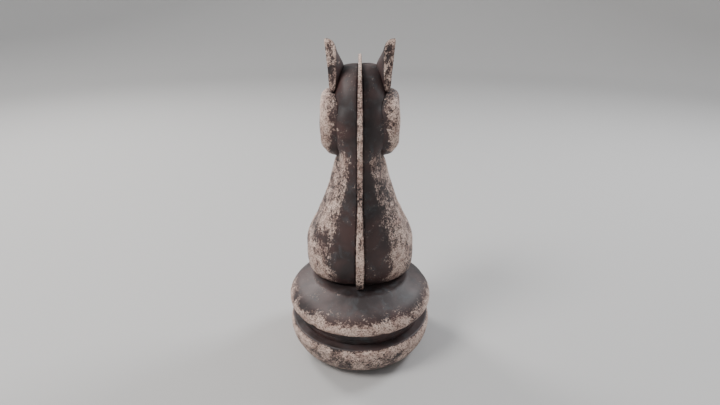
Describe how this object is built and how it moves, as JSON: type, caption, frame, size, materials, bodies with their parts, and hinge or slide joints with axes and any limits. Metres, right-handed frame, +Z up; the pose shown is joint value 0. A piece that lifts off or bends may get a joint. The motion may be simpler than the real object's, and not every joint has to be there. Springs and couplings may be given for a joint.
{
  "type": "giant chess knight",
  "caption": "Lawn chess knight: carved horse's head and neck with a thin mane board, unscrewing from a grooved round base with ballast.",
  "frame": {"origin": "on the ground under the middle of the round base", "axes": "+Z up, the horse faces -Y, +X to the horse's left"},
  "size_m": [0.234, 0.234, 0.5002],
  "materials": {
    "painted_timber": "near-black brown stain, worn through to pale timber on proud parts",
    "eye_gloss": "black lacquer",
    "hardwood_pin": "bare",
    "zinc_steel": "zinc plated",
    "bronze": "satin",
    "iron": "rough cast",
    "rubber": "matt",
    "plywood": "varnished plywood"
  },
  "bodies": {
    "base": {"lower_disc": "painted_timber", "waist_disc": "painted_timber", "upper_disc": "painted_timber", "stack_screws": "zinc_steel", "ballast_plates": "iron", "packing_disc": "rubber", "ballast_cover": "plywood", "cover_screws": "zinc_steel", "rubber_pads": "rubber", "pad_screws": "zinc_steel", "socket_insert": "zinc_steel", "insert_screws": "zinc_steel"},
    "washer": {"thrust_washer": "bronze"},
    "figure": {"figure_left_half": "painted_timber", "figure_right_half": "painted_timber", "half_pins": "hardwood_pin", "mane_board": "painted_timber", "mane_pins": "hardwood_pin", "left_ear": "painted_timber", "right_ear": "painted_timber", "ear_pins": "hardwood_pin", "left_cheek": "painted_timber", "right_cheek": "painted_timber", "cheek_pins": "hardwood_pin", "left_eye": "eye_gloss", "right_eye": "eye_gloss", "mounting_stud": "zinc_steel", "stud_plate": "zinc_steel", "plate_screws": "zinc_steel"}
  },
  "joints": [
    {"name": "figure_turn", "type": "hinge", "parent": "base", "child": "washer", "pos_m": [0, 0, 0.13104], "axis": [0, 0, 1], "range_deg": [0, 3960]},
    {"name": "figure_rise", "type": "slide", "parent": "washer", "child": "figure", "axis": [0, 0, 1], "range_m": [0, 0.022]}
  ],
  "couplings": [
    {"joint": "figure_rise", "follows": "figure_turn", "m_per_rad": 0.00031831}
  ]
}
